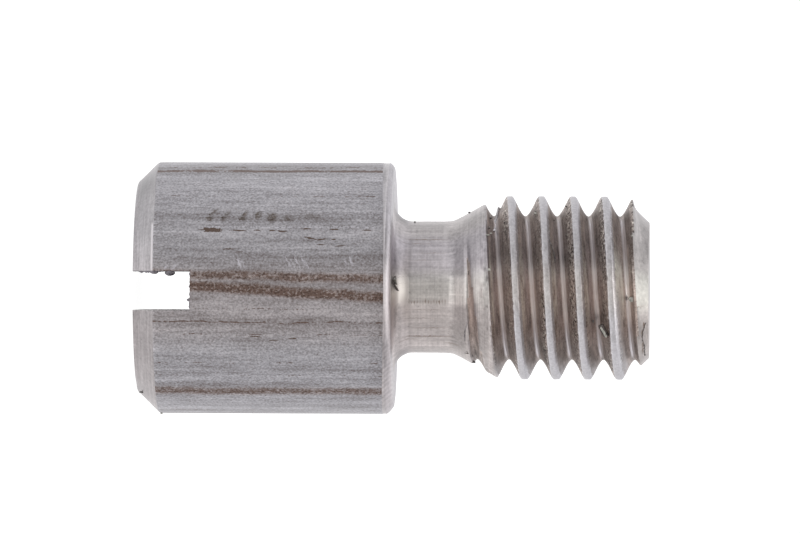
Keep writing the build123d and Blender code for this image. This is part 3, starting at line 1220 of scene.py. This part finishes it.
def sliver(scraps, skin, chance):
    """The sliver that lies across a crest: a short bar, its top painted light and its sides painted
    shade.
    """
    over = skin.size["thread_radius"]
    centre, out, round_axis = on_round(28.4, 14.82, over - 0.03)
    along = round_axis * 0.9 + UP * 0.43
    along /= np.linalg.norm(along)
    across = np.cross(out, along)
    corners = []
    around = 12
    for level, narrow_u, narrow_v in ((-0.05, 1, 1), (0.055, 0.84, 0.32)):
        for j in range(around):
            turn = 2 * math.pi * j / around
            cosine, sine = math.cos(turn), math.sin(turn)
            u = math.copysign(abs(cosine) ** 0.35, cosine) * 0.25 * narrow_u
            v = math.copysign(abs(sine) ** 0.35, sine) * 0.105 * narrow_v
            wobble = chance.uniform(-0.008, 0.008)
            place = centre + along * (u + wobble) + across * (v + wobble)
            corners.append(place + out * level)
    # The sides take the dark stained finish as painted shade, the top the clean one as painted
    # light
    scraps.add(corners, [*collar(around), tuple(reversed(range(around)))], STAINED)
    scraps.add(corners[around:], [tuple(range(around))], CLEAN)


def neck_curl(scraps, skin):
    """The curl caught in the fillet of the neck."""
    fillet = skin.size["neck_fillet"]
    middle = skin.size["head_length"] + fillet
    inner = skin.size["neck_radius"] + fillet
    points = []
    for turn, height, tall in NECK_CURL:
        radius = inner - math.sqrt(fillet**2 - (middle - height) ** 2)
        point, out, _ = on_round(turn, height, radius)
        lean = (inner - radius) / fillet
        outward = out * lean + UP * math.sqrt(max(0, 1 - lean * lean))
        points.append((point + out * 0.01, outward, tall))
    scraps.fin(points, UP, 0.1, STAINED, 93)
    aside, heights = np.array([-0.02, 0, 0.07]), (0.03, 0.08, 0.06, 0.05)
    points = [(point + aside, out, tall) for (point, out, _), tall in zip(points[1:5], heights)]
    scraps.fin(points, np.array([0.3, 0, 0.9]), 0.045, CLEAN, 94)


def torn_flakes(scraps, skin):
    """Flakes that cling to the thread, the neck and the rim."""
    for turn, height, lift, *size, lean, kind in FLAKES:
        centre, out, round_axis = on_skin(skin, turn, height, lift)
        along = round_axis * math.cos(lean) + UP * math.sin(lean)
        across = np.cross(out, along)
        scraps.flake(centre, along, across, out, size, kind, int(turn * 7 + 900))


def thin_turnings(scraps, skin):
    """Turnings that lie in the groove."""
    for start, end, bow, lift in TURNINGS:
        points = []
        for share in np.linspace(0, 1, 9):
            arch = math.sin(math.pi * share)
            turn = start[0] + (end[0] - start[0]) * share
            height = start[1] + (end[1] - start[1]) * share + bow * arch
            point, out, _ = on_skin(skin, turn, height, lift * arch)
            points.append((point, out, 0.014))
        scraps.fin(points, UP, 0.022, FRESH, 101)


def cracked_lip(scraps, skin, chance):
    """Cracked lip across the end chamfer."""
    points = []
    for turn in np.linspace(28.5, 66, 30):
        height = np.interp(turn, LIP_ANGLES, LIP_HEIGHTS) + chance.uniform(-0.014, 0.014)
        point, out, _ = on_skin(skin, turn, height)
        points.append((point, (out + UP) / math.sqrt(2), 0.014 * chance.uniform(-0.6, 1.6)))
    scraps.fin(points, UP, 0.07, STAINED, 97)


def torn_strip(scraps, skin):
    """A strip of metal torn up along the first full groove, out to the -X side."""
    points = []
    for turn, height, tall in TORN_STRIP:
        point, out, _ = on_skin(skin, turn, height, -0.02)
        points.append((point, out * 0.97 - UP * 0.24, tall))
    scraps.fin(points, UP, 0.15, FRESH, 103)


class PIN_OT_thread_swarf(bpy.types.Operator):
    """Leave the slivers and torn flakes that cling to the thread, neck and rim"""

    bl_idname = "pivot_pin.thread_swarf"
    bl_label = "Thread swarf"

    def execute(self, context):
        finish = context.scene.pin_finish
        skin = PinSkin(context.scene.pin_shape)
        scraps = Scraps()
        chance = np.random.RandomState(91)
        sliver(scraps, skin, chance)
        neck_curl(scraps, skin)
        torn_flakes(scraps, skin)
        thin_turnings(scraps, skin)
        cracked_lip(scraps, skin, chance)
        torn_strip(scraps, skin)
        materials = [
            torn_steel("stained_swarf", (0.11, 0.1, 0.095), 0.45),
            torn_steel("clean_swarf", tuple(finish.swarf_steel), 0.35),
            torn_steel("fresh_turning", tuple(finish.crest_steel), 0.4),
        ]
        place_piece(context, scraps.mesh("thread_swarf", materials), 45)
        return {"FINISHED"}


class PIN_OT_body(bpy.types.Operator):
    """Build the pin itself: slotted head, neck, flare and thread in one skin"""

    bl_idname = "pivot_pin.body"
    bl_label = "Pin body"

    def execute(self, context):
        shape, finish = context.scene.pin_shape, context.scene.pin_finish
        skin = PinSkin(shape)
        slotted_end(skin)
        turn = columns(skin)
        foot = turned_rows(skin, turn)
        rim, rim_radius = thread_rows(skin, turn, foot)
        end_face(skin, turn, rim, rim_radius)
        bar = drawn_bar(finish, shape)
        chamfer, neck, end = (turned_face(finish, *face) for face in TURNED_FACES)
        materials = [bar, chamfer, neck, sawn_slot(finish), end, cut_thread(finish, shape)]
        piece = place_piece(context, skin_mesh(skin, "pin_body", materials), 35)
        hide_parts("pivot_pin")
        return {"FINISHED"}


class PIN_OT_stage(bpy.types.Operator):
    """Set the floor, the studio light and the camera"""

    bl_idname = "pivot_pin.stage"
    bl_label = "Studio"

    def execute(self, context):
        studio = context.scene.pin_studio
        floor = studio_floor(context, studio)
        studio_light(context)
        studio_camera(context, studio)
        return {"FINISHED"}


def studio_floor(context, studio):
    """A pale floor, 12 metres square, that glows almost white."""
    reach = 6.0
    corners = [(x * reach, y * reach, 0) for x, y in ((-1, -1), (1, -1), (1, 1), (-1, 1))]
    mesh = bpy.data.meshes.new("studio_floor")
    mesh.from_pydata(corners, [], [(0, 1, 2, 3)])
    floor = bpy.data.objects.new("studio_floor", mesh)
    context.scene.collection.objects.link(floor)
    material = bpy.data.materials.new("pale_floor")
    material.use_nodes = True
    settings = {
        "Base Color": (*studio.floor_colour, 1),
        "Roughness": 0.9,
        "Specular IOR Level": 0.0,
        "Emission Color": (1, 1, 1, 1),
        "Emission Strength": 0.97,
    }
    for name, value in settings.items():
        material.node_tree.nodes["Principled BSDF"].inputs[name].default_value = value
    mesh.materials.append(material)
    return floor


def lamp(context, name, size, power, place, aim, colour):
    """An oblong area light that faces its aim."""
    data = bpy.data.lights.new(name, "AREA")
    data.shape = "RECTANGLE"
    data.size, data.size_y = size
    data.energy = power
    data.color = colour
    made = bpy.data.objects.new(name, data)
    made.location = place
    made.rotation_euler = (Vector(aim) - Vector(place)).to_track_quat("-Z", "Y").to_euler()
    context.scene.collection.objects.link(made)


def studio_light(context):
    """A tent of light, dimmer and warmer towards the camera, and a softbox over the pin."""
    world = bpy.data.worlds.new("light_tent")
    context.scene.world = world
    world.use_nodes = True
    tree = world.node_tree
    _, depth, _ = Shade(tree).node("ShaderNodeTexCoord", output="Generated").parts()
    warm, cool = (1.0, 0.955, 0.93), (0.98, 0.975, 1.0)
    stops = [
        (place, tuple(bright * part for part in tone))
        for place, bright, tone in (
            (0.0, 0.5, warm), (0.2, 0.55, warm), (0.45, 0.8, cool), (0.62, 1.05, cool),
            (1.0, 1.1, cool),
        )
    ]
    wall = (depth * 0.5 + 0.5).ramp(stops)
    tree.links.new(wall.socket, tree.nodes["Background"].inputs["Color"])
    over, aim = (0.017, -0.2, 0.41), (0.017, -0.2, 0.0)
    lamp(context, "top_softbox", (0.2, 1.0), 0.8, over, aim, (1.0, 0.99, 0.96))


def studio_camera(context, studio):
    """Looks level at the pin with the camera on its side, so the pin lies across the frame."""
    data = bpy.data.cameras.new("studio_camera")
    data.lens = studio.camera_lens
    data.sensor_width = 36
    data.clip_start = 0.01
    data.clip_end = 20
    camera = bpy.data.objects.new("studio_camera", data)
    context.scene.collection.objects.link(camera)
    aside, aim_height, tilt = -0.00065, 0.0083, math.radians(0.24)
    place = Vector((aside, -studio.camera_distance, studio.camera_height))
    back = (place - Vector((aside, 0, aim_height))).normalized()
    right = Vector((0, 0, 1))
    right = (right - back * right.dot(back)).normalized()
    level = right * math.cos(tilt) + back.cross(right) * math.sin(tilt)
    matrix = Matrix((level, back.cross(level), back)).transposed().to_4x4()
    matrix.translation = place
    camera.matrix_world = matrix
    context.scene.camera = camera
    context.scene.view_settings.view_transform = "Standard"


class PIN_PT_sidebar(bpy.types.Panel):
    """Lists the pin's pieces and the studio"""

    bl_label = "Pivot Pin"
    bl_idname = "PIN_PT_sidebar"
    bl_space_type = "VIEW_3D"
    bl_region_type = "UI"
    bl_category = "Pivot Pin"

    def draw(self, context):
        column = self.layout.column(align=True)
        for operator in OPERATORS:
            column.operator(operator.bl_idname)


OPERATORS = (PIN_OT_body, PIN_OT_slot_burrs, PIN_OT_thread_swarf, PIN_OT_stage)
CLASSES = (PinShape, PinFinish, StudioSetup, *OPERATORS, PIN_PT_sidebar)


def register():
    for made in CLASSES:
        bpy.utils.register_class(made)
    bpy.types.Scene.pin_shape = PointerProperty(type=PinShape)
    bpy.types.Scene.pin_finish = PointerProperty(type=PinFinish)
    bpy.types.Scene.pin_studio = PointerProperty(type=StudioSetup)


def unregister():
    del bpy.types.Scene.pin_studio
    del bpy.types.Scene.pin_finish
    del bpy.types.Scene.pin_shape
    for made in reversed(CLASSES):
        bpy.utils.unregister_class(made)


def main():
    register()
    bpy.ops.pivot_pin.body()
    bpy.ops.pivot_pin.slot_burrs()
    bpy.ops.pivot_pin.thread_swarf()
    bpy.ops.pivot_pin.stage()
    bpy.context.view_layer.update()


if __name__ == "__main__":
    main()
